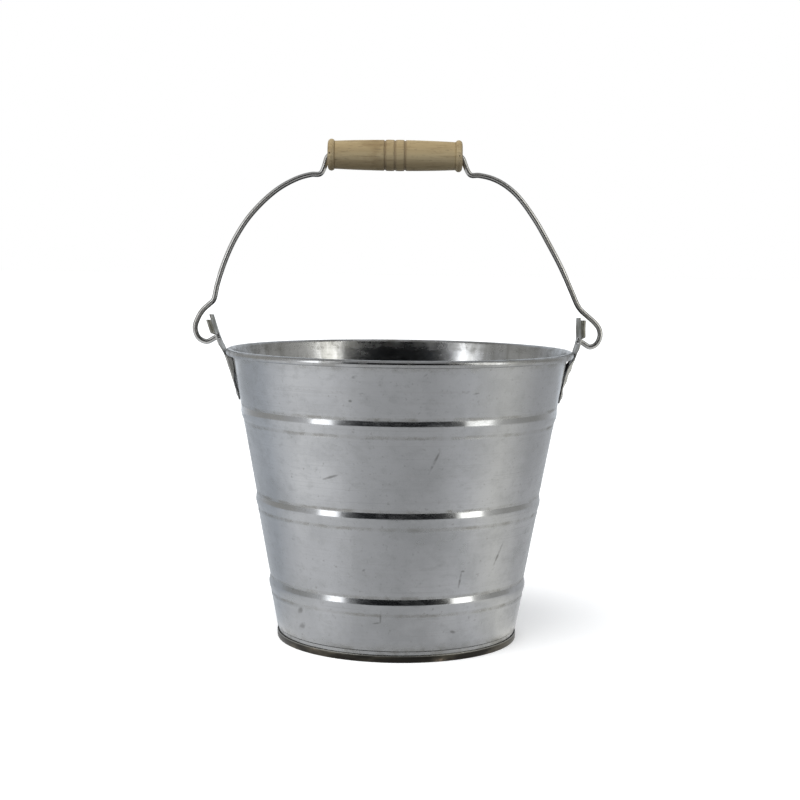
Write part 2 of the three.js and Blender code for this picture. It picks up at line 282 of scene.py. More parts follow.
def finish_with(shade, color, rough, normal, metallic=0.0):
    """Ends a material."""
    sockets = {"Base Color": color, "Roughness": rough, "Normal": normal, "Metallic": metallic}
    shader = shade.node("ShaderNodeBsdfPrincipled", sockets=sockets)
    shade.node("ShaderNodeOutputMaterial", sockets={"Surface": shader})


def mark(shade, x, z, centre, half_length, half_width, lean):
    """A soft streak on the front, 1 at its centre: half sizes in mm, lean in degrees from level."""
    level, upright = x - centre[0] * mm, z - centre[1] * mm
    cos, sin = math.cos(math.radians(lean)), math.sin(math.radians(lean))
    along = (level * cos + upright * sin) / (half_length * mm)
    across = (upright * cos - level * sin) / (half_width * mm)
    return (along * along + across * across).ramp(1, 0)


wall_low, wall_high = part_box("bucket_wall")
rim_radius = wall_high.x
rim_top = wall_high.z
foot_bottom = wall_low.z
taper = 0.183
sheet = 0.6 * mm
slant = math.atan(taper)
sheet_across = sheet / math.cos(slant)
roll_radius = 2.1 * mm
roll_r = rim_radius - roll_radius
roll_z = rim_top - roll_radius
roll_end = math.radians(-125)
wall_at_roll = roll_r - roll_radius / math.cos(slant) + sheet_across
beads = (
    {"z": 34.7 * mm, "rise": 1.45 * mm, "step": 1.1 * mm},
    {"z": 85.5 * mm, "rise": 1.2 * mm, "step": 0.85 * mm},
    {"z": 138.3 * mm, "rise": 0.75 * mm, "step": 0.05 * mm},
)
neck_top = 7.2 * mm
neck_turn = 1.0 * mm
neck_step = 0.9 * mm

# Above a bead's corner the wall runs back to a crease. Below it the wall swells to a belly and runs in to a
# foot, where a step out of the cone and a faint ridge are left. The crease, belly, foot and ridge are at
# these heights above the corner.
bead_crease = 3.2 * mm
bead_belly = -2.0 * mm
bead_foot = -6.4 * mm
belly_swell = 0.2
ridge_drop = -8.2 * mm
ridge_rise = 0.16 * mm
ridge_width = 1.1 * mm


def smooth(share):
    """Eases from 0 to 1 as share goes from 0 to 1, and stays there."""
    share = min(1.0, max(0.0, share))
    return share * share * (3 - 2 * share)


def bead_out(bead, up):
    """How far the wall stands out of the cone above a bead, at a height above the bead's corner."""
    rise, step = bead["rise"], bead["step"]
    if up >= bead_crease:
        return 0.0
    if up >= 0:
        return (1 - belly_swell) * rise * (1 - up / bead_crease)
    if up >= bead_belly:
        return rise * (1 - belly_swell * (1 - up / bead_belly) ** 2)
    ridge = ridge_rise * math.exp(-(((up - ridge_drop) / ridge_width) ** 2))
    return step + (rise - step) * (1 - smooth((up - bead_belly) / (bead_foot - bead_belly))) + ridge


def wall_radius(z):
    """Radius of the wall's outer face."""
    return wall_at_roll - taper * (roll_z - z) + sum(bead_out(bead, z - bead["z"]) for bead in beads)


def evenly(first, last, count):
    """Equal steps up to last, from the one after first."""
    return [first + (last - first) * (i + 1) / count for i in range(count)]


bead_reach = 11 * mm
crease_gap = 1 * mm
wall_top = roll_z - 4 * mm


def wall_heights(coarse, fine):
    """Heights up the wall, fine over each bead and coarse between them."""
    found = [neck_top]
    for bead in beads:
        low, crease = bead["z"] - bead_reach, bead["z"] + bead_crease
        found += evenly(found[-1], low, max(1, round((low - found[-1]) / coarse)))
        found += evenly(low, crease, round((crease - low) / fine))
        found.append(crease + crease_gap)
    return found + evenly(found[-1], wall_top, round((wall_top - found[-1]) / coarse))


def roll_arc(radius, first, last, steps):
    """Points of the rim roll's section."""
    angles = [first] + evenly(first, last, steps)
    return [(roll_r + radius * math.cos(a), roll_z + radius * math.sin(a)) for a in angles]


neck_radius = wall_radius(neck_top) - neck_step
roll_start = math.pi - slant
outer = [(neck_radius, foot_bottom), (neck_radius, neck_top - neck_turn)]
outer += [(wall_radius(z), z) for z in wall_heights(coarse=6 * mm, fine=0.35 * mm)]
inner = [(neck_radius - sheet, foot_bottom), (neck_radius - sheet, neck_top - neck_turn)]
inner += [(wall_radius(z) - sheet_across, z) for z in wall_heights(coarse=7 * mm, fine=0.7 * mm)]
roll_inside = roll_arc(roll_radius - sheet, roll_start, roll_end, steps=20)
roll_outside = roll_arc(roll_radius, roll_end, roll_start, steps=28)
body_outline = outer + roll_inside + roll_outside + list(reversed(inner))


def new_tree(name, sizes):
    """A Geometry Nodes tree from a start shape to a finished one, with named inputs for its sizes."""
    tree = bpy.data.node_groups.new(name, "GeometryNodeTree")
    tree.interface.new_socket("Start", in_out="INPUT", socket_type="NodeSocketGeometry")
    for size, kind in sizes.items():
        tree.interface.new_socket(size, in_out="INPUT", socket_type="NodeSocket" + kind)
    tree.interface.new_socket("Finished", in_out="OUTPUT", socket_type="NodeSocketGeometry")
    shape = Socket(tree)
    return tree, shape, lambda name: shape.node("NodeGroupInput", out=name)


def end_tree(shape, made, given):
    """Ends a tree as one smooth mesh with its material."""
    real = shape.node("GeometryNodeRealizeInstances", sockets={0: made})
    soft = shape.node("GeometryNodeSetShadeSmooth", sockets={0: real})
    dressed = shape.node("GeometryNodeSetMaterial", sockets={0: soft, "Material": given("Material")})
    shape.node("NodeGroupOutput", sockets={"Finished": dressed})


def set_hard(item):
    """Turns what an object's modifiers make into its plain mesh."""
    made = bpy.data.meshes.new_from_object(item.evaluated_get(bpy.context.evaluated_depsgraph_get()))
    item.modifiers.clear()
    item.data = made


def grown(name, start, tree, **sizes):
    """Runs a tree on a start shape and keeps the result as a plain mesh object."""
    item = added(name, start)
    modifier = item.modifiers.new("shape", "NODES")
    modifier.node_group = tree
    for socket in tree.interface.items_tree:
        key = socket.name.lower().replace(" ", "_")
        if key in sizes:
            modifier[socket.identifier] = sizes[key]
    set_hard(item)
    return item


same_place = 0.002 * mm


def faced_out(item, sharp=40):
    """Merges what coincides, points every face outwards and keeps edges sharper than sharp degrees."""
    shape = bmesh.new()
    shape.from_mesh(item.data)
    bmesh.ops.remove_doubles(shape, verts=shape.verts, dist=same_place)
    bmesh.ops.dissolve_degenerate(shape, edges=shape.edges, dist=1e-7)
    bmesh.ops.recalc_face_normals(shape, faces=shape.faces)
    shape.to_mesh(item.data)
    shape.free()
    item.data.shade_smooth()
    item.data.set_sharp_from_angle(angle=math.radians(sharp))


def placed(item, body, slot, *nodes):
    """Says which body a piece rides on and hides the nodes that it stands for; slot is not used."""
    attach(item, body)
    if nodes:
        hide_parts(*nodes)


# Turns an outline of (radius, 0, height) points round Z, with the small unevenness of hand work. Its waves
# fade out towards the foot and the rim, where the sheet is folded.
calm_foot = (8 * mm, 25 * mm)
calm_rim = (168 * mm, 150 * mm)
turning, shape, given = new_tree(
    "turning", {"Steps": "Int", "Unevenness": "Float", "Waviness": "Float", "Material": "Material"}
)
outline_size = shape.node(
    "GeometryNodeAttributeDomainSize", {"component": "MESH"}, {0: given("Start")}, out="Point Count"
)
grid = shape.node(
    "GeometryNodeMeshGrid", sockets={"Vertices X": given("Steps") + 1, "Vertices Y": outline_size}
)
index = shape.node("GeometryNodeInputIndex")
row = shape.maths("FLOORED_MODULO", index, outline_size)
column = shape.maths("FLOOR", index / outline_size)
on_outline = shape.node(
    "GeometryNodeSampleIndex",
    {"data_type": "FLOAT_VECTOR"},
    {"Geometry": given("Start"), "Value": shape.node("GeometryNodeInputPosition"), "Index": row},
)
outline_r, _, outline_z = on_outline.split()
azimuth = column / given("Steps") * (2 * math.pi)
cos, sin = shape.maths("COSINE", azimuth), shape.maths("SINE", azimuth)
around = shape.node("ShaderNodeCombineXYZ", sockets={0: cos, 1: sin, 2: outline_z * 9})
unevenness = shape.node("ShaderNodeTexNoise", sockets={"Vector": around, "Scale": 1.6, "Detail": 1.0})
off_axis = shape.maths("GREATER_THAN", outline_r, 1e-6)
turned_r = outline_r + (unevenness - 0.5) * given("Unevenness") * 2 * off_axis
level_ring = shape.node("ShaderNodeCombineXYZ", sockets={0: cos, 1: sin, 2: outline_z * 25})
waviness = shape.node("ShaderNodeTexNoise", sockets={"Vector": level_ring, "Scale": 2.6, "Detail": 2.0})
calm = outline_z.ramp(*calm_foot) * outline_z.ramp(*calm_rim)
turned_z = outline_z + (waviness - 0.5) * given("Waviness") * 2 * calm
turned_place = shape.node(
    "ShaderNodeCombineXYZ", sockets={0: turned_r * cos, 1: turned_r * sin, 2: turned_z}
)
turned = shape.node("GeometryNodeSetPosition", sockets={0: grid, "Position": turned_place})
merged = shape.node("GeometryNodeMergeByDistance", sockets={0: turned, "Distance": same_place})
end_tree(shape, merged, given)


def turned_piece(name, outline, steps, material, unevenness=0.0, waviness=0.0, closed=True):
    """A piece turned from (radius, height) points, in a closed outline or one from axis to axis."""
    points = [(radius, 0, z) for radius, z in outline + (outline[:1] if closed else [])]
    edges = [(i, i + 1) for i in range(len(points) - 1)]
    start = mesh_of(name + "_outline", points, edges)
    item = grown(name, start, turning, steps=steps, material=material,
                 unevenness=unevenness, waviness=waviness)
    faced_out(item)
    return item


bright_zinc, shade = new_finish("bright_zinc")
whole, x, y, z = places(shade)
brushing = noise(shade, whole, 1.0, 3, (18, 18, 900), 3.1)
smudges = noise(shade, whole, 26, 5, (1, 1, 1.3), 7.7, 0.6)
clouds = noise(shade, whole, 9, 3, (1, 1, 0.7), 1.3)
mottle = noise(shade, whole, 150, 4, (1, 1, 1.6), 4.4, 0.65)
flecks = noise(shade, whole, 420, 2, (1, 1, 1), 9.3)
handled = noise(shade, whole, 1.0, 4, (55, 55, 9), 6.5, 0.6)
dull = smudges.ramp(0.40, 0.70)

# Fine scratches run round the wall, and a few slant where buckets were nested.
round_scratches = noise(shade, whole, 1.0, 2, (9, 9, 1500), 2.6).ramp(0.62, 0.70)
tilted = shade.node(
    "ShaderNodeMapping", sockets={"Vector": whole, "Rotation": (0.3, math.radians(-66), 0.2)}
)
slanting = noise(shade, tilted, 1.0, 2, (14, 700, 700), 5.6).ramp(0.66, 0.71) * clouds.ramp(0.45, 0.62)
scratches = shade.maths("MAXIMUM", round_scratches * 0.4, slanting * 0.7)

# Painted shade darkens the creases above and below each bead and the wall above the fold of the bottom.
# Painted shadow darkens the wall under the rim roll.
foot_shade = z.ramp(11.5 * mm, 6.5 * mm)
rim_shadow = z.ramp(167.5 * mm, 171.5 * mm) * 0.8
crease_shade = shade.maths("MAXIMUM", foot_shade, rim_shadow)
for bead in beads:
    for crease in (bead["z"] + bead_crease + 0.6 * mm, bead["z"] + bead_foot):
        crease_shade = shade.maths("MAXIMUM", crease_shade, abs(z - crease).ramp(1.6 * mm, 0.2 * mm))
# The painted shade is broken into patches, and the metal is rougher where it lies.
crease_shade = crease_shade * (0.4 + 0.6 * mottle.ramp(0.38, 0.62)) * (0.35 + 0.65 * handled.ramp(0.35, 0.65))

# Marks on the front: centre, half length and half width in mm, and degrees from level.
stains = ((-56, 25.5, 3.2, 1.8, 70), (-55, 15.6, 3.6, 1.9, 60), (32.4, 17.3, 2.2, 1.1, -20),
          (-18.8, 54.7, 1.3, 0.7, 30), (37.6, 53.4, 1.2, 0.8, 0), (-24.6, 165.8, 2.0, 1.1, 15),
          (-27, 152.2, 1.3, 1.0, 0), (37.5, 157.5, 2.2, 0.8, 25), (42.5, 156.6, 2.4, 0.6, 10),
          (14.5, 167.5, 2.0, 0.6, 40), (-9, 27.4, 4.6, 0.7, 88), (-11.5, 23.6, 2.8, 0.6, 10),
          (58.3, 60.8, 8.5, 0.8, 68), (36, 48.5, 6.5, 0.8, 80), (20, 118, 9, 0.9, 64),
          (-38, 108, 6, 0.9, 20))
marked = 0
for across, up, half_length, half_width, slope in stains:
    marked = marked + mark(shade, x, z, (across, up), half_length, half_width, slope)
front = y.ramp(-10 * mm, -20 * mm)
marked = marked * front * mottle.ramp(0.28, 0.6)

color = blend(shade, clouds.ramp(0.35, 0.65), (0.49, 0.50, 0.515), (0.37, 0.38, 0.395))
color = blend(shade, dull * 0.6, color, (0.30, 0.31, 0.32))
color = blend(shade, mottle.ramp(0.46, 0.72) * 0.4, color, (0.30, 0.31, 0.315))
color = blend(shade, handled.ramp(0.5, 0.8) * 0.3, color, (0.50, 0.51, 0.525))
color = blend(shade, brushing.ramp(0.5, 0.75) * 0.3, color, (0.34, 0.345, 0.35))
color = blend(shade, scratches * 0.5, color, (0.24, 0.245, 0.25))
color = blend(shade, flecks.ramp(0.66, 0.76) * 0.35, color, (0.16, 0.16, 0.15))
# Painted shade in the creases and above the foot, and painted shadow under the rim.
color = blend(shade, crease_shade * 0.5, color, (0.17, 0.16, 0.13))
color = blend(shade, marked * 0.62, color, (0.1, 0.1, 0.095))

# The inside is darkened with painted shade, and darker still in stained streaks that run down.
n_x, n_y, _ = shade.node("ShaderNodeTexCoord", out="Normal").split()
inside = (n_x * x + n_y * y).ramp(10 * mm, -40 * mm)
runs = noise(shade, whole, 1.0, 4, (90, 90, 14), 3.9, 0.6)
color = blend(shade, inside * (0.12 + 0.6 * runs.ramp(0.42, 0.66)), color, (0.2, 0.2, 0.19))
dents = noise(shade, whole, 14, 1, (1, 1, 1), 5.2)
normal = bump(shade, brushing, 0.006 * mm, bump(shade, dents, 0.25 * mm))
normal = bump(shade, mottle + scratches * 0.6, 0.012 * mm, normal)
rough = 0.12 + 0.11 * dull + 0.06 * (brushing - 0.5) + 0.08 * mottle.ramp(0.45, 0.7)
rough = rough + 0.25 * crease_shade + 0.05 * inside * runs
finish_with(shade, color, rough, normal, 1.0)

body_steps = 240
body = turned_piece("bucket_body", body_outline, body_steps, bright_zinc,
                    unevenness=0.1 * mm, waviness=0.35 * mm)
placed(body, "bucket", "zinc_sheet", "bucket_wall")

# ---------------------------------------------------------------- lock seam
# The body's two edges are hooked together up the back and hammered flat. The seam shows outside as a low
# strip with a sharp edge on one side, and it follows every bead.

seam_half = 2.75 * mm
seam_proud = 0.6 * mm
seam_bury = 0.35 * mm
seam_top = rim_top - 8.4 * mm
seam_foot = neck_top + 0.3 * mm
top_fade, foot_fade = 3 * mm, 1 * mm
least_proud = 0.15

# Its section: how far across, in half widths, and how far out of the wall.
seam_section = [(-1, -seam_bury), (-1, seam_proud * 0.75), (-0.93, seam_proud * 0.97), (-0.8, seam_proud),
                (0.45, seam_proud * 0.9), (0.8, seam_proud * 0.55), (1, 0.05 * mm), (1, -seam_bury)]
seam_levels = [z for z in wall_heights(coarse=6 * mm, fine=0.5 * mm)[1:] if z < seam_top - 1 * mm]
seam_levels = [seam_foot, *seam_levels, seam_top]
seam_corners = []
for level_z in seam_levels:
    fade = smooth((seam_top - level_z) / top_fade) * smooth((level_z - neck_top) / foot_fade)
    for across, proud in seam_section:
        lift = proud if proud < 0 else proud * (least_proud + (1 - least_proud) * fade)
        seam_corners.append((across * seam_half, wall_radius(level_z) + lift, level_z))
count = len(seam_section)
seam_faces = grid_faces(len(seam_levels), count, closed=True)
seam_faces.append(tuple(range(count)))
seam_faces.append(tuple((len(seam_levels) - 1) * count + j for j in reversed(range(count))))
seam = added("lock_seam", mesh_of("lock_seam", seam_corners, faces=seam_faces))
seam.data.materials.append(bright_zinc)
faced_out(seam, 50)
placed(seam, "bucket", "zinc_sheet")

# ---------------------------------------------------------------- rim wire
# A ring of 2.4 mm galvanised wire that stiffens the rim, held only by the sheet rolled round it. It shows
# only from below, through the slit where the roll ends.

drawn_wire, shade = new_finish("drawn_wire")
whole, *_ = places(shade)
drawing = noise(shade, whole, 420, 3, (1, 1, 1), 2.0)
spots = noise(shade, whole, 60, 3, (1, 1, 1), 8.0)
color = blend(shade, spots.ramp(0.4, 0.7), (0.47, 0.47, 0.46), (0.36, 0.355, 0.34))
finish_with(shade, color, 0.26 + 0.16 * spots.ramp(0.35, 0.75), bump(shade, drawing, 0.002 * mm), 1.0)

# Runs round wire along a path of points.
wire_run, shape, given = new_tree(
    "wire_run", {"Radius": "Float", "Sides": "Int", "Material": "Material"}
)
path = shape.node("GeometryNodeMeshToCurve", sockets={0: given("Start")})
section = shape.node(
    "GeometryNodeCurvePrimitiveCircle", sockets={"Resolution": given("Sides"), "Radius": given("Radius")}
)
swept = shape.node(
    "GeometryNodeCurveToMesh", sockets={"Curve": path, "Profile Curve": section, "Fill Caps": True}
)
end_tree(shape, swept, given)


def wire_piece(name, points, radius, sides, material, closed=False):
    """A piece of wire along points, with flat ends or joined into a ring."""
    edges = [(i, i + 1) for i in range(len(points) - 1)] + ([(len(points) - 1, 0)] if closed else [])
    item = grown(name, mesh_of(name + "_path", points, edges), wire_run,
                 radius=radius, sides=sides, material=material)
    faced_out(item, 50)
    return item


rim_wire_radius = 1.2 * mm
rim_turns = [2 * math.pi * i / body_steps for i in range(body_steps)]
rim_points = [(roll_r * math.cos(a), roll_r * math.sin(a), roll_z) for a in rim_turns]
rim_wire = wire_piece("wire_in_rim", rim_points, rim_wire_radius, 16, drawn_wire, closed=True)
placed(rim_wire, "bucket", "zinc_wire", "rim_wire")

# ---------------------------------------------------------------- bottom
# A separate disc, raised inside the foot. Its edge is folded up round the outside of the neck and hammered
# on, and has tarnished nearly black where the bucket stands and is dragged.

_, plate_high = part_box("bottom_plate")
skirt_radius = plate_high.x
floor_top = plate_high.z
skirt_top = 4.2 * mm
skirt_inner = skirt_radius - sheet
channel_inner = neck_radius - sheet - 0.3 * mm
channel_floor = sheet + 0.4 * mm
fold = 0.5 * mm
inner_fold = 0.4 * mm
skirt_lean = 0.1 * mm
lip = sheet / 2

# The disc is pressed down a little inside its edge: radius and depth in mm.
dish = ((66, 0), (64, 0.35), (62, 0.4), (30, 0.4), (0, 0.4))


def corner(r, z, radius, first, last, steps=4):
    """A rounded corner about a centre, by angles in degrees from outwards."""
    angles = [math.radians(a) for a in [first] + evenly(first, last, steps)]
    return [(r + radius * math.cos(a), z + radius * math.sin(a)) for a in angles]


plate_outline = [(0, floor_top - sheet)]
plate_outline += corner(channel_inner - sheet - fold, floor_top - sheet - fold, fold, 90, 0)
plate_outline += [(channel_inner - sheet, fold)]
plate_outline += corner(channel_inner - sheet + fold, fold, fold, 180, 270)
plate_outline += corner(skirt_radius - fold - skirt_lean, fold, fold, 270, 360)
plate_outline += [(skirt_radius, 0.5 * skirt_top)]
plate_outline += corner(skirt_inner + lip, skirt_top - lip, lip, 0, 180, 6)
plate_outline += [(skirt_inner, channel_floor)]
plate_outline += corner(skirt_inner - inner_fold, channel_floor, inner_fold, 0, -90, 3)
plate_outline += corner(channel_inner + inner_fold, channel_floor, inner_fold, 270, 180, 3)
plate_outline += corner(channel_inner - fold, floor_top - fold, fold, 0, 90)
plate_outline += [(r * mm, floor_top - dip * mm) for r, dip in dish]

tarnish, shade = new_finish("tarnish")
whole, x, y, z = places(shade)
patches = noise(shade, whole, 60, 4, (1, 1, 2.2), 4.0)
fine = noise(shade, whole, 420, 3, (1, 1, 1), 1.0)
within = (x * x + y * y).ramp(channel_inner ** 2 * 1.004, channel_inner ** 2 * 0.99)
inside = within * z.ramp(1 * mm, 3 * mm)
lip_light = z.ramp(skirt_top - 0.9 * mm, skirt_top - 0.2 * mm)
color = blend(shade, patches.ramp(0.4, 0.75), (0.028, 0.026, 0.023), (0.11, 0.10, 0.08))
color = blend(shade, patches.ramp(0.6, 0.72) * fine.ramp(0.35, 0.7), color, (0.42, 0.33, 0.25))
color = blend(shade, lip_light * 0.7, color, (0.33, 0.33, 0.31))
color = blend(shade, inside, color, blend(shade, patches, (0.36, 0.365, 0.37), (0.26, 0.26, 0.255)))
finish_with(shade, color, 0.3 + 0.25 * patches, bump(shade, fine, 0.06 * mm), 1.0)

plate = turned_piece("bottom_disc", plate_outline, body_steps, tarnish, closed=False)
placed(plate, "bucket", "tarnished_zinc", "bottom_plate")

# ---------------------------------------------------------------- bail ears
# Two ears stamped from galvanised sheet. A leaf is riveted to the wall, with side flanges folded in towards
# it. Above it a neck passes outside the rim to a tab with rolled edges and the eye for the bail, leaning as
# it was bent by hand.

ear_zinc, shade = new_finish("ear_zinc")
whole, _, _, z = places(shade)
blotches = noise(shade, whole, 130, 3, (1, 1, 1), 6.0)
fine = noise(shade, whole, 700, 2, (1, 1, 1), 3.0)
color = blend(shade, blotches.ramp(0.35, 0.7), (0.46, 0.46, 0.445), (0.3, 0.3, 0.285))
grease = z.ramp(181 * mm, 187 * mm) * (0.35 + 0.65 * blotches.ramp(0.35, 0.6))
color = blend(shade, grease * 0.75, color, (0.15, 0.148, 0.115))
normal = bump(shade, fine, 0.03 * mm, bump(shade, blotches, 0.3 * mm))
finish_with(shade, color, 0.36 + 0.24 * blotches, normal, 1.0)


def between(first, last, slope_first, slope_last, t):
    """A smooth way from first to last as t goes from 0 to 1, with the slope given at each end."""
    return (first * (2 * t ** 3 - 3 * t * t + 1) + slope_first * (t ** 3 - 2 * t * t + t)
            + last * (3 * t * t - 2 * t ** 3) + slope_last * (t ** 3 - t * t))


def through(points, at):
    """A smooth value through a few (place, value) points."""
    if at <= points[0][0]:
        return points[0][1]
    if at >= points[-1][0]:
        return points[-1][1]
    i = next(i for i in range(len(points) - 1) if at < points[i + 1][0])
    (a, first), (b, last) = points[i], points[i + 1]
    before, after = points[max(0, i - 1)], points[min(len(points) - 1, i + 2)]
    slope_a = (last - before[1]) / (b - before[0]) * (b - a)
    slope_b = (after[1] - first) / (after[0] - a) * (b - a)
    return between(first, last, slope_a, slope_b, (at - a) / (b - a))


# Heights and distances here are in mm, and angles in degrees. Each ear has its side of the bucket, how far
# out it stands and the slit between flange and wall at some heights, the angle that its flanges are folded
# by, the twist of its tab, how much lower the tab's front corner is, and the ripples left by a clumsy bend.
ears = {
    "right": {
        "side": 1,
        "out": [(144, 96.55), (151, 97.95), (157, 100.0), (162, 101.8), (171.5, 105.35), (175.4, 106.0),
                (179, 107.3), (182.5, 108.3), (189, 108.2), (195.6, 108.3)],
        "slit": [(146, 0.3), (152, 0.3), (158, 0.5), (163, 0.9), (166.5, 1.6), (170, 3.4)],
        "fold": 74, "twist": 7, "slant": 1.2, "ripple": 0.24,
    },
    "left": {
        "side": -1,
        "out": [(144, 96.55), (148, 97.4), (152, 98.8), (157, 100.4), (162, 102.0), (171.5, 105.35),
                (175.4, 107.0), (179, 108.9), (182.5, 110.4), (189, 112.6), (195.6, 114.7)],
        "slit": [(146, 0.4), (149, 0.6), (153, 1.2), (157, 1.3), (160, 0.7), (162.5, 0.12), (168, 0.12),
                 (170, 0.6)],
        "fold": 90, "twist": 5, "slant": 3.6, "ripple": 0.05,
    },
}
ear_low, ear_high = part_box("ear_right")
ear_bottom, ear_top = ear_low.z / mm, ear_high.z / mm
ear_sheet = 0.65
half_widths = [(144, 5.2), (145.2, 6.9), (147.5, 7.7), (169.2, 7.7), (172.6, 6.5), (184, 6.4), (195.6, 6.7)]
flange_top = 169.6
hem_foot = 184.0
flange_bend = 0.8
flange_fade = 2.0
hem_bend, hem_angle = 1.12, math.radians(285)
hem_fade = 1.6
least_edge = 0.3
back_slant = 0.25
flat_columns, edge_columns, ear_rows = 14, 14, 104
ripple_pitch, ripple_start = 7.0, 149
ripple_low, ripple_high = 147, 171
ripple_fade_in, ripple_fade_out = 5, 4
twist_low, twist_fade = 170, 8

# Where the twist starts, the ear is pushed out by a share of it, so that its edge stays clear of the rim.
clear_low, clear_fade, clear_share = 176, 6, 0.6
eye_z = 182.0
eye_radius = 2.7
eye_sides = 48
punch_length = 24


def ear_point(ear, level_z, across, edge):
    """A point on the ear's middle surface: across is -1 to 1 on the flat, edge 0 to 1 along a bent edge."""
    top = ear_top - ear["slant"] * (1 if across < 0 else back_slant)
    if level_z > hem_foot:
        level_z = hem_foot + (level_z - hem_foot) * (top - hem_foot) / (ear_top - hem_foot)
    out = through(ear["out"], level_z)
    rippled = smooth((level_z - ripple_low) / ripple_fade_in)
    rippled *= smooth((ripple_high - level_z) / ripple_fade_out)
    out += ear["ripple"] * rippled * math.sin(2 * math.pi * (level_z - ripple_start) / ripple_pitch)
    half = through(half_widths, level_z)
    if level_z < (flange_top + hem_foot) / 2:
        reach = out - wall_radius(level_z * mm) / mm - through(ear["slit"], level_z)
        reach *= smooth((flange_top + 1.6 - level_z) / flange_fade)
        radius, limit, sense = flange_bend, math.radians(ear["fold"]), -1
        length = radius * limit + (reach - radius * (1 - math.cos(limit))) / math.sin(limit)
    else:
        length = hem_bend * hem_angle * smooth((level_z - hem_foot + hem_fade / 2) / hem_fade)
        radius, limit, sense = hem_bend, hem_angle, 1
    length = max(least_edge, length)
    turned_by = min(limit, length * edge / radius)
    straight = length * edge - turned_by * radius
    side = half + radius * math.sin(turned_by) + straight * math.cos(turned_by)
    depth = sense * (radius * (1 - math.cos(turned_by)) + straight * math.sin(turned_by))
    if edge == 0:
        side, depth = half * abs(across), 0.0
    side = math.copysign(side, across)
    twist = math.radians(ear["twist"]) * smooth((level_z - twist_low) / twist_fade)
    out += clear_share * half * math.sin(twist) * (1 - smooth((level_z - clear_low) / clear_fade))
    return (
        ear["side"] * (out + depth * math.cos(twist) - side * math.sin(twist)) * mm,
        (side * math.cos(twist) + depth * math.sin(twist)) * mm,
        level_z * mm,
    )


def eye_punch(ear):
    """The round punch that cuts the ear's eye."""
    middle = ear["side"] * through(ear["out"], eye_z) * mm
    place = Matrix.Translation((middle, 0, eye_z * mm)) @ Matrix.Rotation(math.radians(90), 4, "Y")
    shape = bmesh.new()
    bmesh.ops.create_cone(shape, cap_ends=True, segments=eye_sides, radius1=eye_radius * mm,
                          radius2=eye_radius * mm, depth=punch_length * mm, matrix=place)
    punch = added("punch", bpy.data.meshes.new("punch"))
    shape.to_mesh(punch.data)
    shape.free()
    return punch


def make_ear(name, ear):
    """One ear: its bent surface, given the sheet's thickness and then its eye."""
    columns = [(-1.0, 1 - i / edge_columns) for i in range(edge_columns)]
    columns += [(-1 + 2 * i / flat_columns, 0.0) for i in range(flat_columns + 1)]
    columns += [(1.0, (i + 1) / edge_columns) for i in range(edge_columns)]
    corners = []
    for i in range(ear_rows + 1):
        level_z = ear_bottom + (ear_top - ear_bottom) * i / ear_rows
        corners += [ear_point(ear, level_z, across, edge) for across, edge in columns]
    item = added(name, mesh_of(name, corners, faces=grid_faces(ear_rows + 1, len(columns), closed=False)))
    thickness = item.modifiers.new("sheet", "SOLIDIFY")
    thickness.thickness = ear_sheet * mm
    thickness.offset = 0
    punch = eye_punch(ear)
    cut = item.modifiers.new("eye", "BOOLEAN")
    cut.object = punch
    cut.operation = "DIFFERENCE"
    cut.solver = "EXACT"
    set_hard(item)
    bpy.data.objects.remove(punch)
    item.data.materials.clear()
    item.data.materials.append(ear_zinc)
    faced_out(item, 45)
    return item


for name, ear in ears.items():
    placed(make_ear("stamped_ear_" + name, ear), "bucket", "zinc_ear", "ear_" + name)

# ---------------------------------------------------------------- rivets
# Two soft steel rivets hold each ear's foot to the wall. Their domed heads are outside, and their tails are
# hammered flat inside.

# Sizes in mm. The grip is the length of shank between head and tail.
rivet_sizes = {
    "Head Radius": 3.0, "Dome": 1.0, "Tail Radius": 2.4, "Tail": 0.8, "Shank Radius": 1.5, "Grip": 1.9,
}
riveting, shape, given = new_tree(
    "riveting", {**{size: "Float" for size in rivet_sizes}, "Material": "Material"}
)


def flattened(radius_name, height_name, how, offset):
    """A ball pressed flat on one side: a rivet's head or its tail."""
    radius = given(radius_name)
    ball = shape.node("GeometryNodeMeshUVSphere", sockets={"Segments": 32, "Rings": 16, "Radius": radius})
    x, y, z = shape.node("GeometryNodeInputPosition").split()
    pressed = shape.maths(how, z, 0.0) / radius * given(height_name) + offset
    place = shape.node("ShaderNodeCombineXYZ", sockets={0: x, 1: y, 2: pressed})
    return shape.node("GeometryNodeSetPosition", sockets={0: ball, "Position": place})


rivet_head = flattened("Head Radius", "Dome", "MAXIMUM", given("Grip"))
rivet_tail = flattened("Tail Radius", "Tail", "MINIMUM", 0.0)
rivet_shank = shape.node(
    "GeometryNodeMeshCylinder",
    sockets={"Vertices": 24, "Radius": given("Shank Radius"), "Depth": given("Grip")},
)
shank_lift = shape.node("ShaderNodeCombineXYZ", sockets={2: given("Grip") / 2})
rivet_shank = shape.node("GeometryNodeTransform", sockets={0: rivet_shank, "Translation": shank_lift})
rivet = shape.node("GeometryNodeJoinGeometry", sockets={0: rivet_head})
for part in (rivet_tail, rivet_shank):
    shape.tree.links.new(part.socket, rivet.socket.node.inputs[0])
axis = shape.node("GeometryNodeInputNamedAttribute", {"data_type": "FLOAT_VECTOR"}, {"Name": "axis"})
facing = shape.node("FunctionNodeAlignRotationToVector", {"axis": "Z"}, {"Vector": axis})
set_rivets = shape.node(
    "GeometryNodeInstanceOnPoints",
    sockets={"Points": given("Start"), "Instance": rivet, "Rotation": facing},
)
end_tree(shape, set_rivets, given)

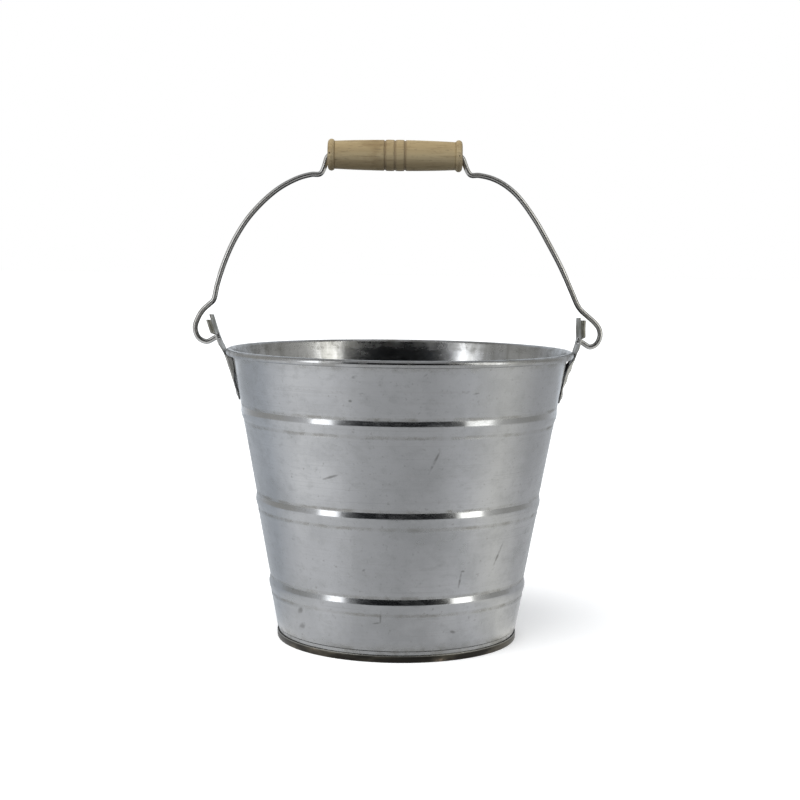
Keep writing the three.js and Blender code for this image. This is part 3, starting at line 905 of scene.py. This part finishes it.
rivet_z = rim_top - 26.4 * mm
rivet_spread = 4.4 * mm
tail_gap = 0.35 * mm
rivet_seats, rivet_axes = [], []
for side in (-1, 1):
    for row_side in (-1, 1):
        depth = wall_radius(rivet_z) - sheet_across - tail_gap
        rivet_seats.append((side * depth, row_side * rivet_spread, rivet_z))
        rivet_axes += [side * math.cos(slant), 0, -math.sin(slant)]
seats = mesh_of("rivet_seats", rivet_seats)
seats.attributes.new("axis", "FLOAT_VECTOR", "POINT").data.foreach_set("vector", rivet_axes)
rivets = grown("ear_rivets", seats, riveting, material=drawn_wire,
               **{size.lower().replace(" ", "_"): value * mm for size, value in rivet_sizes.items()})
faced_out(rivets, 40)
placed(rivets, "bucket", "zinc_wire",
       "rivet_right_front", "rivet_right_rear", "rivet_left_front", "rivet_left_rear")

# ---------------------------------------------------------------- bail
# One length of 3.2 mm zinc-plated wire, bent by hand. It is cranked down at each end of the grip, bows out
# to each side, kinks in and ends in a hook that passes through the ear's eye from outside.

# Heights and distances here are in mm, but the wire's radius is in metres, as wire_piece takes it.
grip_low, grip_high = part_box("wooden_grip")
grip_z = (grip_low.z + grip_high.z) / 2 / mm
grip_left, grip_right = grip_low.x / mm, grip_high.x / mm
wire_radius = 1.6 * mm
pivot_z = eye_z
bail_height = grip_z - pivot_z
crank_radius = 3.4
crank_angle = math.radians(64)
crank_inside = 2.6
crank_steps = 4
lead_in = (6, 2.5)

# From the grip down: each arm as shares of the way from grip to eye and of the bail's height, and each hook
# in mm out and up from its eye.
bail_arms = {
    "right": [(0.068, 0.9), (0.14, 0.897), (0.245, 0.882), (0.347, 0.85), (0.463, 0.788),
              (0.612, 0.659), (0.73, 0.528), (0.838, 0.398), (0.93, 0.266)],
    "left": [(0.064, 0.897), (0.15, 0.891), (0.28, 0.868), (0.475, 0.801), (0.7, 0.67), (0.846, 0.537),
             (0.944, 0.405), (1.008, 0.285)],
}
bail_hooks = {
    "right": [(-1.3, 21), (0.9, 18.1), (5, 14.5), (9.2, 10.8), (12, 7), (12.6, 2.6), (10.6, -2),
              (6.8, -3.9), (2.6, -1.7), (0, 0), (-1.2, 0.5)],
    "left": [(2.9, 21.6), (5.5, 19.1), (9, 15.8), (12, 11.2), (13.9, 4.8), (11.8, -1.2), (7, -3.5),
             (2.6, -1.5), (0, 0), (-1.2, 0.5)],
}

# How far out, in mm, the bail's axis meets each ear.
eye_out = {"right": 108.44, "left": 110.13}


def bail_side(name):
    """Points (outward, height) in mm down one side of the bail, from inside the grip to the hook's tip."""
    grip_end = grip_right if name == "right" else -grip_left
    start = grip_end - crank_inside
    points = [(start - back, grip_z) for back in lead_in]
    for i in range(crank_steps + 1):
        angle = crank_angle * i / crank_steps
        drop = crank_radius * (1 - math.cos(angle))
        points.append((start + crank_radius * math.sin(angle), grip_z - drop))
    eye = eye_out[name]
    for across, up in bail_arms[name]:
        points.append((grip_end + across * (eye - grip_end), pivot_z + up * bail_height))
    return points + [(eye + outward, pivot_z + up) for outward, up in bail_hooks[name]]


def rounded(points, steps):
    """A smooth path through points, even in its speed, so that close points make tight bends."""
    spots = [Vector(point) for point in points]
    spots = [2 * spots[0] - spots[1]] + spots + [2 * spots[-1] - spots[-2]]
    found = []
    for i in range(1, len(spots) - 2):
        p0, p1, p2, p3 = spots[i - 1 : i + 3]
        d1, d2, d3 = (math.sqrt((b - a).length) for a, b in ((p0, p1), (p1, p2), (p2, p3)))
        slope_1 = ((p1 - p0) / d1 - (p2 - p0) / (d1 + d2) + (p2 - p1) / d2) * d2
        slope_2 = ((p2 - p1) / d2 - (p3 - p1) / (d2 + d3) + (p3 - p2) / d3) * d2
        found += [between(p1, p2, slope_1, slope_2, k / steps) for k in range(steps)]
    return found + [spots[-2]]


bail_points = [(-outward, 0, height) for outward, height in reversed(bail_side("left"))]
bail_points += [(outward, 0, height) for outward, height in bail_side("right")]
bail_path = [point * mm for point in rounded(bail_points, 8)]
bail = wire_piece("wire_bail", bail_path, wire_radius, 24, drawn_wire)
placed(bail, "bail", "zinc_wire", "bail_wire")

# ---------------------------------------------------------------- grip
# A raw wooden grip turned on a lathe and bored through. It has a bead at each end and a pair of rings
# between three grooves in the middle, and it was left unvarnished, so hands and damp have stained it.

# Sizes and places here are in mm, until the outline is done.
grip_half = (grip_right - grip_left) / 2
grip_centre = (grip_right + grip_left) / 2
end_radius = 9.5
waist = 8.35
belly = 9.2
bead_length = 4.4
half_bead = bead_length / 2
barrel_end = grip_half - bead_length
bore = 2.6
mouth = 7
mouth_depth = 3.8
mouth_edge = 0.35
grooves = (-6, 0, 6)
groove_half = 0.8
groove_depth = 0.55
middle_share = 0.75
ring_swell = 0.12
barrel_steps = 70
groove_steps = 6
bead_steps = 12


def barrel(along):
    """Radius of the grip at a distance from its middle."""
    radius = belly - (belly - waist) * min(1, abs(along) / barrel_end) ** 2
    if abs(along) < grooves[-1]:
        radius += ring_swell * (1 - (2 * abs(along) / grooves[-1] - 1) ** 2)
    for groove in grooves:
        off = abs(along - groove) / groove_half
        if off < 1:
            radius -= groove_depth * (1 - off ** 1.3) * (middle_share if groove == 0 else 1)
    return radius


grip_marks = [-barrel_end] + evenly(-barrel_end, barrel_end, barrel_steps)
for groove in grooves:
    grip_marks += [groove + groove_half * k / groove_steps for k in range(-groove_steps, groove_steps + 1)]
grip_marks = sorted({round(mark, 3) for mark in grip_marks})
grip_end = [(waist + 0.25, barrel_end + 0.15)]
for angle in evenly(-80, 80, bead_steps):
    a = math.radians(angle)
    bead_r = end_radius - half_bead * (1 - math.cos(a))
    grip_end.append((bead_r, barrel_end + half_bead * (1 + math.sin(a) * 0.98)))
grip_end += [(mouth + mouth_edge, grip_half), (mouth, grip_half - 0.25), (bore, grip_half - mouth_depth)]
grip_outline = [(r, -along) for r, along in reversed(grip_end)]
grip_outline += [(barrel(along), along) for along in grip_marks] + grip_end
grip_outline = [(r * mm, along * mm) for r, along in grip_outline]

raw_wood, shade = new_finish("raw_wood")
whole, x, _, _ = places(shade)
grain = noise(shade, whole, 1.0, 5, (46, 1100, 1100), 2.2, 0.65)
pores = noise(shade, whole, 1.0, 2, (190, 1700, 1700), 6.1)
rings = noise(shade, whole, 1.0, 2, (12, 190, 190), 5.0)
stain = noise(shade, whole, 60, 4, (0.8, 1.3, 1.3), 9.0, 0.6)
spots = noise(shade, whole, 520, 2, (1, 1, 1), 1.4)
end_dirt = abs(x - grip_centre * mm).ramp((grip_half - 7) * mm, grip_half * mm)
# The wood is darker in and beside each groove.
darker_grooves = 0
for groove in grooves:
    darker_grooves = darker_grooves + abs(x - (grip_centre + groove) * mm).ramp(1.5 * mm, 0.2 * mm)
color = blend(shade, rings.ramp(0.3, 0.7), (0.50, 0.395, 0.22), (0.40, 0.30, 0.155))
color = blend(shade, grain.ramp(0.48, 0.72) * 0.6, color, (0.25, 0.17, 0.075))
color = blend(shade, stain.ramp(0.5, 0.72) * 0.6, color, (0.22, 0.145, 0.06))
color = blend(shade, pores.ramp(0.62, 0.72) * 0.55, color, (0.13, 0.085, 0.04))
color = blend(shade, darker_grooves * 0.55, color, (0.15, 0.10, 0.05))
color = blend(shade, spots.ramp(0.66, 0.72) * (0.15 + 0.85 * end_dirt), color, (0.05, 0.03, 0.015))
height = grain * 0.6 + rings * 0.2 - pores.ramp(0.6, 0.75) * 0.4
finish_with(shade, color, 0.5 + 0.2 * stain, bump(shade, height, 0.14 * mm))

grip_turning_steps = 96
grip = turned_piece("turned_grip", grip_outline, grip_turning_steps, raw_wood, unevenness=0.12 * mm)
laid_level = Matrix.Rotation(math.radians(90), 4, "Y")
grip.data.transform(Matrix.Translation((grip_centre * mm, 0, grip_z * mm)) @ laid_level)
placed(grip, "grip", "raw_wood", "wooden_grip")
